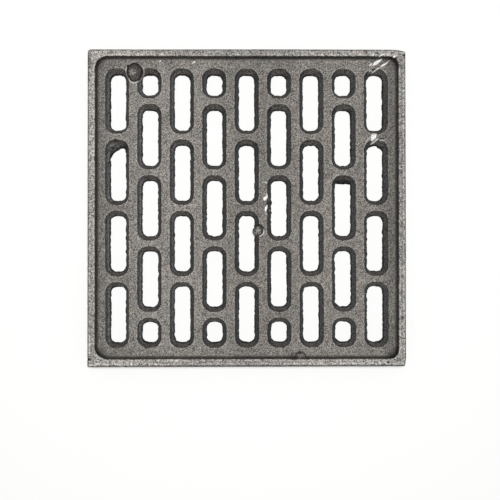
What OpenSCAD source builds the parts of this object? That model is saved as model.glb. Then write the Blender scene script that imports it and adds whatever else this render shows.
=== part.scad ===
// Square cast-iron grille: a slotted floor inside a raised rim, cast in one piece.
// Units are millimetres. The underside lies on z = 0 and the rim stands up from the floor.

/* [Plate] */
// Outer side of the square casting, at its underside
plate_side = 200; // [180:1:240]
// Thickness of the slotted floor
floor_thickness = 7.5; // [5:0.5:12]
// Radius of the outer corners, at the underside
plate_corner_radius = 1.4; // [1.3:0.1:6]
// How far each outer side leans in from the underside to the rim
side_draft = 0.3; // [0.1:0.1:0.6]
// Width of the worn slope along the rim's outer edge
edge_wear = 0.5; // [0.2:0.1:0.6]

/* [Rim] */
// Height of the rim above the floor
rim_height = 4.5; // [2.5:0.5:10]
// Width of the rim's flat top
rim_width = 4.1; // [3:0.1:5]
// How far the rim's inner face leans in toward its foot
rim_draft = 0.6; // [0.2:0.1:1]
// Size of the fillet along the foot of the rim
rim_foot = 1.1; // [0.5:0.1:1.5]
// Radius of the recess's corners, at the floor
recess_corner_radius = 4.2; // [2:0.1:8]

/* [Slots] */
// Number of columns, odd so that both outer ones match
columns = 9; // [5:2:11]
// Number of long slots in each outer column
rows = 4; // [3:1:5]
// Width of the bars between columns, at the floor
bar_width = 5.3; // [4:0.1:7]
// Width of the webs between the ends of slots, at the floor
web_width = 3.7; // [3:0.1:7]
// Distance from the plate's side to the outermost column, at the floor
side_margin = 10.4; // [9.5:0.1:14]
// Distance from the plate's side to the nearest slot ends, at the floor
end_margin = 11.8; // [10:0.1:14]
// How far each slot wall leans in from the floor to the underside
slot_draft = 2.8; // [0.5:0.1:3]
// Radius of the slot corners, at the floor
mouth_radius = 6.5; // [4:0.1:8]

/* [Casting flaws] */
// Radius of the blow-hole's wide lobe, at the floor
blow_radius = 4.9; // [3:0.1:5.5]
// Depth of the blow-hole below the floor
blow_depth = 3.4; // [3:0.1:4.4]
// Distance of the blow-hole from the middle of the bar that it breaks into
blow_shift = 1.4; // [0:0.1:2]
// Radius of the bead stuck to a slot's wall
bead_radius = 3.1; // [1.5:0.1:4]
// Width of the gap beside the bead
bead_gap = 1.1; // [0.5:0.1:1.5]
// Distance of the bead above the middle of its slot
bead_shift = 7.9; // [0:0.1:9]
// Radius of the lump at the foot of the rim
lump_radius = 3.2; // [1.5:0.1:4]
// Distance of the lump from the middle of the nearest bar
lump_shift = 3; // [0:0.1:5]
// Length of slot wall that the corner flash covers
flash_reach = 8; // [4:0.5:10]
// Distance that the flash along a slot's end closes
flash_creep = 1.9; // [0.5:0.1:3]

/* [Hidden] */
$fn = 48;
overcut = 0.5;
total_height = floor_thickness + rim_height;
half_side = plate_side / 2;

// Slot grid, worked out from the plate, the margins and the bars
slot_width = (plate_side - 2 * side_margin - (columns - 1) * bar_width) / columns;
slot_length = (plate_side - 2 * end_margin - (rows - 1) * web_width) / rows;
column_pitch = slot_width + bar_width;
row_pitch = slot_length + web_width;
short_length = slot_length - row_pitch / 2;
field_half = half_side - end_margin;
corner_radius = min(mouth_radius, slot_width / 2 - 0.4, short_length / 2 - 0.4);
wall_lean = slot_draft / floor_thickness;
low_half_width = slot_width / 2 - slot_draft;
low_half_length = slot_length / 2 - slot_draft;

// Lobes of the blow-hole: x, y and radius as shares of the wide lobe's radius, then share of its depth
hole_lobes = [
  [0, 0, 1, 1],
  [-0.22, -0.32, 0.87, 0.9],
  [-0.1, -0.84, 0.69, 0.8],
  [-0.69, 0.54, 0.37, 0.6],
];

// Edges of the corner flash: heights at the slot's left and right walls, as shares of its reach
flash_edges = [[-1, 0.7], [-0.73, -0.16], [1.31, -0.59]];
flash_edge_height = 0.16 * floor_thickness;
flash_slope = 0.6;

// How far the flaws' middles lie in from the edges that they sit on, as shares of their radii
hole_inset = 0.3;
bead_inset = 0.29;
lump_inset = 0.2;

// Recess, worked out from the rim
wall_half = half_side - side_draft - edge_wear - rim_width - rim_draft;
flat_half = wall_half - rim_foot;

function column_x(i) = (i - (columns - 1) / 2) * column_pitch;
function row_y(j) = ((rows - 1) / 2 - j) * row_pitch;
function staggered_y(j) = (row_y(j) + row_y(j + 1)) / 2;

// Block of x by y with rounded corners, spreading by the draft on each side over its height
module drafted_block(x, y, r, draft, height) {
  across = x / 2 - r;
  along = y / 2 - r;
  for (sx = [-1, 1], sy = [-1, 1])
    translate([sx * across, sy * along, 0])
      cylinder(h = height, r1 = r, r2 = r + draft);
  rotate([90, 0, 90])
    linear_extrude(height = 2 * across, center = true)
      polygon([[-y / 2, 0], [y / 2, 0], [y / 2 + draft, height], [-y / 2 - draft, height]]);
  rotate([90, 0, 0])
    linear_extrude(height = 2 * along, center = true)
      polygon([[-x / 2, 0], [x / 2, 0], [x / 2 + draft, height], [-x / 2 - draft, height]]);
}

// Tapered slot whose mouth at the floor has the given length
module slot(length, grow = 0) {
  low = slot_draft + overcut * wall_lean - grow;
  tall = floor_thickness + 2 * overcut;
  translate([0, 0, -overcut])
    drafted_block(slot_width - 2 * low, length - 2 * low, corner_radius - low, tall * wall_lean, tall);
}

module all_slots() {
  for (i = [0 : columns - 1]) {
    if (i % 2 == 0) {
      for (j = [0 : rows - 1])
        translate([column_x(i), row_y(j), 0]) slot(slot_length);
    } else {
      for (j = [0 : rows - 2])
        translate([column_x(i), staggered_y(j), 0]) slot(slot_length);
      for (side = [-1, 1])
        translate([column_x(i), side * (field_half - short_length / 2), 0]) slot(short_length);
    }
  }
}

// Outer block, with a worn slope along its upper edge
module outer_block() {
  sides = total_height - edge_wear;
  drafted_block(plate_side, plate_side, plate_corner_radius, -side_draft, sides);
  top = plate_side - 2 * side_draft;
  translate([0, 0, sides])
    drafted_block(top, top, plate_corner_radius - side_draft, -edge_wear, edge_wear);
}

// Recess above the floor: two steep steps for the fillet, then the rim's inner face
module recess() {
  foot_r = recess_corner_radius;
  step = 0.7 * rim_foot;
  rest = rim_foot - step;
  wall = rim_height - rim_foot + overcut;
  wall_spread = wall * rim_draft / (rim_height - rim_foot);
  translate([0, 0, floor_thickness])
    drafted_block(2 * flat_half, 2 * flat_half, foot_r, step, rest);
  translate([0, 0, floor_thickness + rest])
    drafted_block(2 * (flat_half + step), 2 * (flat_half + step), foot_r + step, rest, step);
  translate([0, 0, floor_thickness + rim_foot])
    drafted_block(2 * wall_half, 2 * wall_half, foot_r + rim_foot, wall_spread, wall);
}

// Bowl cut by a sphere that meets the floor in a circle of the given radius
module bowl(radius, depth) {
  ball = (radius * radius + depth * depth) / (2 * depth);
  translate([0, 0, floor_thickness + ball - depth]) sphere(r = ball);
}

// Blow-hole of several lobes, breaking into the bar between the first two columns
module blow_hole() {
  translate([column_x(0.5) + blow_shift, field_half - hole_inset * blow_radius, 0])
    for (lobe = hole_lobes)
      translate([lobe[0] * blow_radius, lobe[1] * blow_radius, 0])
        bowl(lobe[2] * blow_radius, lobe[3] * blow_depth);
}

module at_bead() {
  x = slot_width / 2 - bead_inset * bead_radius;
  translate([x, row_y(floor(rows / 2)) + bead_shift, floor_thickness])
    children();
}

// Gap left open around the upper right of the bead
module bead_ring() {
  at_bead()
    rotate([0, 0, 5])
      rotate_extrude(angle = 105)
        translate([bead_radius + bead_gap / 2, 0]) circle(r = 0.6 * bead_gap);
}

module bead() {
  at_bead() translate([0, 0, -0.65 * bead_radius]) sphere(r = bead_radius);
}

// Half-round lump at the foot of the rim
module lump() {
  translate([1.5 * column_pitch + lump_shift, -wall_half + lump_inset * lump_radius, floor_thickness])
    sphere(r = lump_radius);
}

// Thin metal that crept over a slot's lower end, behind an edge between two heights on its walls
module flash(left_y, right_y) {
  run = 2 * low_half_width;
  tilt = atan2(right_y - left_y, run);
  back = low_half_length + slot_draft + 2 - min(left_y, right_y);
  edge = flash_edge_height;
  intersection() {
    slot(slot_length, 0.8);
    translate([-low_half_width, left_y, 0])
      rotate([0, 0, tilt])
        translate([run / 2, 0, 0])
          rotate([90, 0, 90])
            linear_extrude(height = 3 * run, center = true)
              polygon([[0, 0], [back, 0], [back, edge + flash_slope * back], [0, edge]]);
  }
}

module all_flash() {
  translate([column_x(0), row_y(1), 0])
    for (edge = flash_edges)
      flash(low_half_length + edge[0] * flash_reach, low_half_length + edge[1] * flash_reach);
  translate([column_x(columns - 2), staggered_y(1), 0])
    flash(low_half_length - flash_creep, low_half_length - flash_creep);
}

module grille_casting() {
  color([0.47, 0.45, 0.43])
    difference() {
      union() {
        difference() {
          outer_block();
          recess();
          all_slots();
          bead_ring();
        }
        bead();
        lump();
        intersection() {
          all_flash();
          translate([-half_side, -half_side, 0]) cube([plate_side, plate_side, floor_thickness]);
        }
      }
      blow_hole();
    }
}

grille_casting();
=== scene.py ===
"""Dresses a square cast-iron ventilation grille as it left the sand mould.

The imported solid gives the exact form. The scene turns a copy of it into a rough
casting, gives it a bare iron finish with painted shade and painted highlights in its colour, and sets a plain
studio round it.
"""

import logging
import math
from dataclasses import dataclass
from enum import Enum
from functools import partial, reduce

import bpy
import numpy as np
from mathutils import Euler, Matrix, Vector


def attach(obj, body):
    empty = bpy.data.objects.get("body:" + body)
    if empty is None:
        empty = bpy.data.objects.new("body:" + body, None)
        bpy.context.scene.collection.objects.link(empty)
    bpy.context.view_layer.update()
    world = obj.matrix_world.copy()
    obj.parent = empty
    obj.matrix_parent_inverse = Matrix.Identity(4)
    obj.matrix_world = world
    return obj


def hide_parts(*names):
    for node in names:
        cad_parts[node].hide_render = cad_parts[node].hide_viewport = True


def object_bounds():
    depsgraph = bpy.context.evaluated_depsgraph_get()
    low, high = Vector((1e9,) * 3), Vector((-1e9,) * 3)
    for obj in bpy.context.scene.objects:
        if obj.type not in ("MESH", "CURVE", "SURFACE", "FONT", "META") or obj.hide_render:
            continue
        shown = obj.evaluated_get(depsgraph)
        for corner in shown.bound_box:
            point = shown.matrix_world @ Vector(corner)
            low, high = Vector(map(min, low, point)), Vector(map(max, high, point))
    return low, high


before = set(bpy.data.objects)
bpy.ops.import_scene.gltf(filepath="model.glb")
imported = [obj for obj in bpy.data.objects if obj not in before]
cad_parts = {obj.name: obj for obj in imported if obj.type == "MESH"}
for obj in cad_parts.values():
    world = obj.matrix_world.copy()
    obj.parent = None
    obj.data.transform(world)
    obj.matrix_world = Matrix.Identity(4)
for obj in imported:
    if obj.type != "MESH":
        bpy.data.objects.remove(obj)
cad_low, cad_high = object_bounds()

logging.basicConfig(level=logging.INFO, format="%(message)s")
log = logging.getLogger("grille")

MM = 0.001
BODY = "root"
NODE = "grille_casting"

Piece = bpy.types.Object
Socket = bpy.types.NodeSocket
Value = Socket | float | tuple[float, ...]
Color = tuple[float, float, float, float]
Place = tuple[float, float]
Circle = tuple[float, float, float]
Pair = tuple[float, float]
# Two values of a noise or a direction, and the brightness or share at each
Tones = tuple[float, float, float, float]

IRON: Color = (0.147, 0.136, 0.124, 1.0)
BLACK: Color = (0.013, 0.011, 0.010, 1.0)
TINY = 1e-9


class Push(Enum):
    """Ways in which a noise moves the skin."""

    ALONG_NORMAL = "NORMAL"
    ANY_WAY = "RGB_TO_XYZ"


class Mark(Enum):
    """Kinds of mark on the bare iron."""

    BRIGHT = "bright"
    DARK = "dark"
    RUST = "rust"
    STAIN = "stain"


@dataclass(frozen=True)
class Fade:
    """A smooth change of a value along a distance in millimetres.

    Attributes:
        start: Where it begins.
        end: Where it ends.
        first: The value before it.
        last: The value after it.
    """

    start: float
    end: float
    first: float = 0.0
    last: float = 1.0

    def of(self, distance: np.ndarray) -> np.ndarray:
        """Gives the values for an array of distances."""
        share = np.clip((distance - self.start) / (self.end - self.start), 0.0, 1.0)
        return self.first + (self.last - self.first) * (share * share * (3.0 - 2.0 * share))


@dataclass(frozen=True)
class Band:
    """A line along a given distance, in millimetres.

    Attributes:
        centre: The distance that it follows.
        half: Half of its width.
        soft: Width of its soft edges.
    """

    centre: float
    half: float
    soft: float


@dataclass(frozen=True)
class Mottle:
    """Soft noise and the brightness that it gives.

    Attributes:
        size: Size of its grains, in millimetres.
        tones: Brightness by its value.
        detail: Finer layers in it.
        rough: Strength of each finer layer.
    """

    size: float
    tones: Tones
    detail: float = 1.0
    rough: float = 0.5


@dataclass(frozen=True)
class GrillePlan:
    """Where the slots, the rim and the flaws lie, for what follows their outlines.

    Sizes are in metres; circles, pulls, bites and fades are in millimetres.

    Attributes:
        floor_top: Height of the floor between the slots.
        side_half: Distance of the outer sides from the middle, at the top.
        side_corner: Radius of the outer corners there.
        worn_corner: Radius of the upper left one, which is worn.
        rim_inner: Distance of the rim's inner edge from the middle.
        rim_corner: Radius of the recess's corners on the right.
        left_corner: Radius of its corners on the left.
        slot_width: Width of a slot's mouth.
        slot_length: Length of a long mouth.
        short_length: Length of a short mouth.
        mouth_corner: Radius of a mouth's corners.
        column_pitch: Distance from column to column.
        row_pitch: Distance from slot to slot in a column.
        field_half: Distance of the outermost slot ends from the middle.
        outer_column: Number of the outermost column, the middle one being 0.
        core_shift: How far the mould's inner part sat off its outer part, as x and y.
        narrow: How far in the first column's left wall lies.
        narrow_low: How much further in it lies toward the lowest row.
        first_wall: Where that wall's shift comes and goes.
        right_room: How much further to the right the recess reaches.
        right_flare: How much further still for each metre up.
        top_room: How much higher the recess reaches, toward the right.
        low_room: How much lower it reaches, less toward the left.
        sag: How far the upper side sinks, toward the left.
        corner_sag: How far it sinks toward the right corner.
        low_lean: How far in the lower side leans at the top.
        hole_lobes: The pit's circles, as x, y and radius.
        pit_shifts: Pulls on the pit's outline, as middle, shift and reach.
        bead: The bead's circle.
        lump: The lump's circle.
        bites: Bites into the slots' low edges, as x, y, radius and depth. A tooth has a depth below zero.
        bite_top: Height up to which they reach.
        bite_slope: How steeply they fall off, full depth being at half their radius.
    """

    floor_top: float = 7.5 * MM
    side_half: float = 99.7 * MM
    side_corner: float = 1.1 * MM
    worn_corner: float = 2.2 * MM
    rim_inner: float = 95.1 * MM
    rim_corner: float = 5.9 * MM
    left_corner: float = 7.8 * MM
    slot_width: float = 15.2 * MM
    slot_length: float = 41.325 * MM
    short_length: float = 18.8125 * MM
    mouth_corner: float = 6.5 * MM
    column_pitch: float = 20.5 * MM
    row_pitch: float = 45.025 * MM
    field_half: float = 88.2 * MM
    outer_column: int = 4
    core_shift: Place = (-0.09 * MM, 0.22 * MM)
    narrow: float = 0.26 * MM
    narrow_low: Fade = Fade(-60.0, -40.0, 0.25 * MM, 0.0)
    first_wall: tuple[Fade, Fade] = (Fade(-93.2, -91.2), Fade(-86.0, -83.5, 1.0, 0.0))
    right_room: float = 0.42 * MM
    right_flare: float = 0.0018
    top_room: Fade = Fade(-60.0, 60.0, 0.0, 0.22 * MM)
    low_room: Fade = Fade(-60.0, 60.0, -0.20 * MM, 0.0)
    sag: Fade = Fade(-97.0, 30.0, 0.35 * MM, 0.0)
    corner_sag: Fade = Fade(91.0, 99.5, 0.0, 0.9 * MM)
    low_lean: float = 0.15 * MM
    hole_lobes: tuple[Circle, ...] = (
        (-70.44, 86.95, 4.9),
        (-71.52, 85.38, 4.26),
        (-70.93, 82.83, 3.38),
        (-73.82, 89.59, 1.81),
    )
    pit_shifts: tuple[tuple[Place, Place, float], ...] = (
        ((-67.6, 89.5), (-0.33, -0.31), 3.6),
        ((-75.8, 88.0), (-0.38, 0.65), 3.6),
        ((-67.3, 85.5), (-0.53, 0.41), 3.6),
        ((-70.9, 81.5), (0.0, 0.9), 3.6),
        ((-74.0, 90.4), (0.57, -0.9), 1.6),
        ((-72.2, 92.2), (-0.21, 0.38), 2.9),
        ((-67.8, 80.8), (-0.4, 0.5), 2.6),
    )
    bead: Circle = (6.7, -14.3, 3.0)
    lump: Circle = (33.7, -93.6, 3.15)
    bites: tuple[tuple[float, float, float, float], ...] = (
        (56.3, -32.7, 1.2, 0.9),
        (77.7, -56.2, 1.4, 0.9),
        (77.3, -67.0, 1.0, 0.9),
        (78.4, 39.4, 2.4, -0.4),
        (85.6, 39.4, 2.6, -1.0),
        (-79.0, 37.9, 2.4, 0.85),
        (-82.2, 36.8, 2.6, 0.75),
        (-85.1, 34.9, 2.2, 0.35),
        (15.2, 3.4, 1.3, -0.6),
        (15.3, -2.8, 1.1, -0.6),
        (14.9, 9.6, 1.0, -0.4),
    )
    bite_top: float = 2.5 * MM
    bite_slope: float = 2.0


@dataclass(frozen=True)
class Streak:
    """A short straight mark on the iron, in millimetres from the plate's centre.

    Attributes:
        x: Place of one end to the right.
        y: The same, going up.
        end_x: Place of the other end.
        end_y: The same, going up.
        width: Greatest width, at the middle.
        strength: How fully it covers the iron.
        dot_length: Length, in widths, up to which it is an even dot.
        taper: How much a longer one narrows to its ends.
        hard_edge: Share of the width that its soft edge takes up, on scratches and dots.
        soft_edge: The same on stains, pores and rust.
        spread: Share of the soft edge that lies outside the width.
    """

    x: float
    y: float
    end_x: float
    end_y: float
    width: float
    strength: float = 1.0
    dot_length: float = 1.2
    taper: float = 1.6
    hard_edge: float = 0.2
    soft_edge: float = 0.3
    spread: float = 0.3


# Each kind's marks, as the numbers of a Streak
STREAKS: dict[Mark, tuple[tuple[float, ...], ...]] = {
    Mark.BRIGHT: (
        (77.4, 90.2, 79.8, 92.0, 0.85), (79.6, 90.4, 85.8, 94.7, 2.0, 0.95),
        (80.2, 91.2, 82.8, 93.4, 1.5), (83.1, 95.2, 86.6, 97.1, 1.0, 0.9),
        (79.8, 86.5, 84.7, 89.5, 0.9, 0.95), (84.7, 89.7, 89.5, 92.5, 1.3, 0.85),
        (87.1, 91.3, 91.1, 94.1, 0.5, 0.5), (77.6, 86.8, 78.9, 87.9, 1.2, 0.8),
        (79.0, 88.1, 80.1, 87.0, 0.8, 0.65), (90.1, 95.3, 91.4, 95.9, 0.7, 0.5),
        (96.2, 88.4, 95.7, 83.0, 0.8, 0.4), (86.4, 88.3, 90.1, 83.2, 0.7, 0.2),
        (82.2, 47.4, 80.1, 43.3, 1.7), (79.3, 46.8, 79.3, 43.5, 1.8), (79.9, 45.2, 79.5, 43.4, 2.0),
        (80.9, 47.2, 79.8, 43.5, 2.3), (79.0, 47.0, 82.2, 47.4, 1.0),
        (79.0, 41.0, 83.3, 44.1, 1.35, 0.95), (78.3, 45.4, 74.6, 41.5, 0.7, 0.45),
        (83.6, 43.2, 86.8, 42.9, 1.0, 0.5), (81.5, 42.8, 83.2, 43.1, 0.9, 0.3),
        (12.6, 9.2, 12.8, 6.0, 1.3), (12.4, 7.8, 10.9, 5.0, 2.2), (10.3, 6.8, 11.6, 4.5, 1.3, 0.9),
        (12.8, 2.2, 11.6, -2.2, 1.5), (11.9, 1.4, 11.6, -2.2, 1.3, 0.8),
        (11.6, -3.2, 12.8, -4.2, 0.8, 0.6), (13.6, 6.0, 14.0, 5.1, 1.0, 0.2),
        (14.4, -0.7, 14.3, -1.6, 1.0, 0.2), (9.3, 15.9, 10.0, 16.6, 0.8, 0.4),
        (11.2, 17.1, 12.5, 15.6, 0.9, 0.6), (-55.2, 92.3, -54.2, 93.6, 0.8, 0.6),
        (-53.3, 88.2, -52.7, 88.9, 0.7, 0.5), (-34.6, 91.2, -32.6, 93.2, 1.0, 0.75),
        (10.4, -13.5, 10.9, -15.2, 0.7, 0.5), (10.9, -14.4, 10.2, -16.3, 0.7, 0.6),
        (10.5, -15.9, 8.7, -17.3, 0.7, 0.6), (9.4, -17.0, 7.6, -17.7, 0.7, 0.4),
        (6.4, -14.4, 7.8, -14.1, 1.2, 0.18), (92.6, 95.2, 92.8, 95.2, 1.5),
        (90.1, 95.4, 91.7, 95.9, 0.7, 0.4), (98.9, 97.9, 99.1, 97.9, 1.0, 0.5),
    ),
    # Dark marks: pores, and painted shadows under folds of metal.
    Mark.DARK: (
        (83.3, 44.1, 87.4, 44.2, 1.3), (87.6, 45.0, 87.8, 45.0, 1.0, 0.6), (12.0, 2.6, 14.9, 3.3, 1.8),
        (12.8, 2.9, 13.0, 2.9, 1.7), (14.0, 13.9, 14.0, 13.3, 1.2, 0.7),
        (14.5, -2.8, 15.2, -3.0, 1.2, 0.9), (-68.2, 89.3, -69.1, 86.6, 0.8, 0.5),
        (-69.0, 87.0, -70.9, 84.6, 0.9, 0.6), (-70.6, 84.8, -73.9, 83.8, 0.9, 0.6),
        (-67.0, 90.0, -66.7, 87.3, 1.7, 0.8), (-66.6, 87.7, -67.7, 85.0, 1.4, 0.8),
        (6.4, -11.5, 8.0, -10.6, 1.1), (7.6, -10.7, 9.2, -11.1, 1.3), (8.7, -10.9, 10.5, -12.7, 1.3),
        (8.6, -13.0, 9.7, -14.0, 0.9, 0.9), (9.3, -13.4, 9.8, -15.5, 1.4),
        (9.9, -14.6, 8.9, -16.3, 1.4), (9.4, -15.8, 7.3, -16.9, 1.0, 0.95),
        (28.2, -91.7, 28.7, -92.3, 1.3, 0.8), (57.6, 97.1, 58.3, 97.1, 1.1, 0.8),
        (82.1, 97.3, 82.3, 97.3, 1.5, 0.87), (98.8, 96.1, 99.0, 96.1, 2.0),
        (93.3, 94.0, 93.5, 94.0, 1.3), (91.6, 95.3, 91.8, 95.3, 2.0, 0.82),
        (93.8, 94.3, 94.0, 94.3, 2.0, 0.82), (-85.2, 38.6, -85.0, 38.6, 1.8),
        (-80.5, 39.7, -80.3, 39.7, 1.8), (-82.3, 38.7, -82.1, 38.7, 1.4, 0.82),
        (-83.4, 42.8, -83.2, 42.8, 1.7, 0.82), (-74.8, 32.9, -74.6, 32.9, 1.4, 0.72),
        (-87.5, 29.1, -87.3, 29.1, 1.8, 0.92), (98.2, 86.5, 98.2, 87.0, 0.8, 0.5),
        (98.5, 93.6, 98.6, 89.0, 0.7, 0.3), (-98.6, 98.4, -98.5, 86.0, 2.4, 0.5),
        (-98.8, 90.0, -98.9, 76.0, 1.6, 0.3), (91.5, -94.7, 94.0, -95.9, 1.0, 0.75),
        (93.4, -95.4, 95.6, -96.6, 0.9, 0.7), (94.6, -94.0, 94.2, -96.0, 0.7, 0.5),
        (96.7, -94.9, 95.4, -96.6, 0.8, 0.65), (88.2, -96.9, 88.4, -96.9, 1.5),
        (-99.0, -94.6, -98.3, -94.8, 1.7, 0.95), (97.0, -62.6, 97.2, -62.6, 1.2, 0.57),
        (97.1, -68.7, 97.3, -68.7, 1.2, 0.92),
    ),
    Mark.RUST: (
        (81.0, 89.0, 88.4, 93.4, 2.0, 0.85), (6.9, 1.2, 10.5, 0.3, 3.5, 0.2),
        (-86.2, 37.8, -83.9, 36.4, 1.8, 0.4), (63.0, -22.6, 68.0, -22.2, 3.4, 0.25),
        (61.0, -67.9, 66.0, -67.9, 3.0, 0.3), (97.1, -68.9, 97.3, -68.9, 2.0, 0.95),
        (96.9, -71.0, 97.0, -71.2, 1.6, 0.7), (96.7, -81.7, 96.8, -82.0, 1.7, 0.7),
    ),
    Mark.STAIN: (
        (-71.6, 91.7, -68.6, 91.3, 1.4, 0.8), (30.4, -92.6, 31.6, -91.3, 1.1, 0.9),
        (31.6, -91.3, 34.7, -90.9, 2.0), (34.7, -90.9, 37.1, -92.8, 1.0, 0.75),
        (25.7, -93.9, 30.3, -92.9, 3.0, 0.75), (25.4, -92.7, 29.0, -93.4, 2.4, 0.5),
        (28.1, -94.3, 30.5, -93.9, 2.4, 0.9), (36.9, -93.9, 39.0, -94.9, 1.4, 0.9),
        (33.9, -91.3, 33.9, -92.8, 0.9, 0.45), (32.9, -89.0, 33.2, -89.2, 1.0, 0.6),
    ),
}


def select_none() -> None:
    """Leaves object mode with nothing selected."""
    if bpy.context.object and bpy.context.object.mode != "OBJECT":
        bpy.ops.object.mode_set(mode="OBJECT")
    bpy.ops.object.select_all(action="DESELECT")


def make_active(piece: Piece) -> None:
    """Selects one piece alone, as the next operator's target.

    Args:
        piece: The piece.
    """
    select_none()
    piece.select_set(True)
    bpy.context.view_layer.objects.active = piece


def apply_modifier(piece: Piece, modifier: bpy.types.Modifier) -> None:
    """Applies one modifier to the mesh that it shapes."""
    make_active(piece)
    bpy.ops.object.modifier_apply(modifier=modifier.name)


@dataclass
class NodeTree:
    """A small hand for wiring a material's nodes.

    Attributes:
        material: The material whose nodes it lays.
    """

    material: bpy.types.Material

    def __post_init__(self) -> None:
        """Clears the material's tree."""
        self.material.use_nodes = True
        self.tree = self.material.node_tree
        self.tree.nodes.clear()

    def add(self, kind: str, inputs: dict[int | str, Value], **fields: str) -> bpy.types.Node:
        """Adds a node and feeds it.

        Args:
            kind: The node's type, such as ShaderNodeMath.
            inputs: Its inputs by number or name, each a socket to join or a value to set.
            **fields: The node's own fields by name.

        Returns:
            The new node.
        """
        node = self.tree.nodes.new(kind)
        for name, setting in fields.items():
            setattr(node, name, setting)
        for name, value in inputs.items():
            socket = node.inputs[name]
            if isinstance(value, Socket):
                self.tree.links.new(value, socket)
            elif isinstance(value, tuple):
                socket.default_value = value[: len(socket.default_value)]
            else:
                socket.default_value = value
        return node

    def math(self, kind: str, *values: Value) -> Socket:
        """Adds a math node of one to three numbers and returns its result."""
        return self.add("ShaderNodeMath", dict(enumerate(values)), operation=kind).outputs[0]

    def vector(self, kind: str, *values: Value) -> bpy.types.Node:
        """Adds a vector math node and returns it."""
        return self.add("ShaderNodeVectorMath", dict(enumerate(values)), operation=kind)

    def split(self, vector: Value) -> tuple[Socket, ...]:
        """Parts a vector into its three numbers."""
        return tuple(self.add("ShaderNodeSeparateXYZ", {0: vector}).outputs)

    def pack(self, x: Value, y: Value, z: Value = 0.0) -> Socket:
        """Joins three numbers into a vector."""
        return self.add("ShaderNodeCombineXYZ", {0: x, 1: y, 2: z}).outputs[0]

    def times(self, *factors: Value) -> Socket:
        """Multiplies several numbers and returns the product."""
        return reduce(partial(self.math, "MULTIPLY"), factors)

    def rest(self, share: Value) -> Socket:
        """Takes a share from 1 and returns the rest."""
        return self.math("SUBTRACT", 1.0, share)

    def mix(self, share: Value, first: Value, second: Value) -> Socket:
        """Passes from one number to another by a share and returns the result."""
        return self.math("MULTIPLY_ADD", share, self.math("SUBTRACT", second, first), first)

    def blend(self, share: Value, first: Value, second: Value) -> Socket:
        """Mixes two colours, the node's inputs 6 and 7, by a share and returns its output 2."""
        return self.add("ShaderNodeMix", {0: share, 6: first, 7: second}, data_type="RGBA").outputs[2]

    def scale(self, color: Value, factor: Value) -> Socket:
        """Multiplies a colour or a vector by a number and returns it."""
        return self.add("ShaderNodeVectorMath", {0: color, "Scale": factor}, operation="SCALE").outputs[0]

    def ramp(self, value: Value, low: float, high: float, first: float = 0.0, last: float = 1.0) -> Socket:
        """Passes smoothly from a first result to a last one as a value goes from low to high."""
        inputs = dict(enumerate((value, low, high, first, last)))
        return self.add("ShaderNodeMapRange", inputs, interpolation_type="SMOOTHSTEP").outputs["Result"]

    def fade(self, distance: Value, fade: Fade) -> Socket:
        """Follows a fade along a distance in metres and returns the result."""
        return self.ramp(distance, fade.start * MM, fade.end * MM, fade.first, fade.last)

    def band(self, distance: Value, band: Band) -> Socket:
        """Gives 1 where a distance lies on a band, fading to 0 beside it."""
        away = self.math("ABSOLUTE", self.math("SUBTRACT", distance, band.centre * MM))
        return self.ramp(away, band.half * MM, band.half * MM + band.soft * MM, 1.0, 0.0)

    def noise(self, place: Value, size: float, detail: float, rough: float = 0.5) -> bpy.types.Node:
        """Adds soft noise with grains of a size in metres, and returns its node."""
        inputs = {"Vector": place, "Scale": 1.0 / size, "Detail": detail, "Roughness": rough}
        return self.add("ShaderNodeTexNoise", inputs, noise_dimensions="3D")

    def grains(self, place: Value, mottle: Mottle) -> Socket:
        """Adds a mottle's noise and returns its value."""
        return self.noise(place, mottle.size * MM, mottle.detail, mottle.rough).outputs["Fac"]

    def mottle(self, place: Value, mottle: Mottle) -> Socket:
        """Adds a mottle and returns its brightness."""
        return self.ramp(self.grains(place, mottle), *mottle.tones)

    def disc(self, place: Value, x: float, y: float, radius: float) -> Socket:
        """Measures how far a point lies outside a circle given in millimetres."""
        away = self.vector("DISTANCE", place, (x * MM, y * MM, 0.0)).outputs["Value"]
        return self.math("SUBTRACT", away, radius * MM)

    def rounded_box(self, x: Value, y: Value, half_x: Value, half_y: Value, corner: Value) -> Socket:
        """Measures how far a point lies outside a rounded box.

        Args:
            x: Distance from the box's middle, without its sign.
            y: The same along the other side.
            half_x: Half of the box's width.
            half_y: Half of its length.
            corner: Radius of its corners.

        Returns:
            The distance, less than zero inside the box.
        """
        over_x = self.math("ADD", self.math("SUBTRACT", x, half_x), corner)
        over_y = self.math("ADD", self.math("SUBTRACT", y, half_y), corner)
        past = self.pack(self.math("MAXIMUM", over_x, 0.0), self.math("MAXIMUM", over_y, 0.0))
        outside = self.vector("LENGTH", past).outputs["Value"]
        inside = self.math("MINIMUM", self.math("MAXIMUM", over_x, over_y), 0.0)
        return self.math("SUBTRACT", self.math("ADD", outside, inside), corner)

    def finish(self, shader: bpy.types.Node) -> bpy.types.Material:
        """Joins a shader to the output and returns the material."""
        self.add("ShaderNodeOutputMaterial", {"Surface": shader.outputs[0]})
        return self.material


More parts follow.
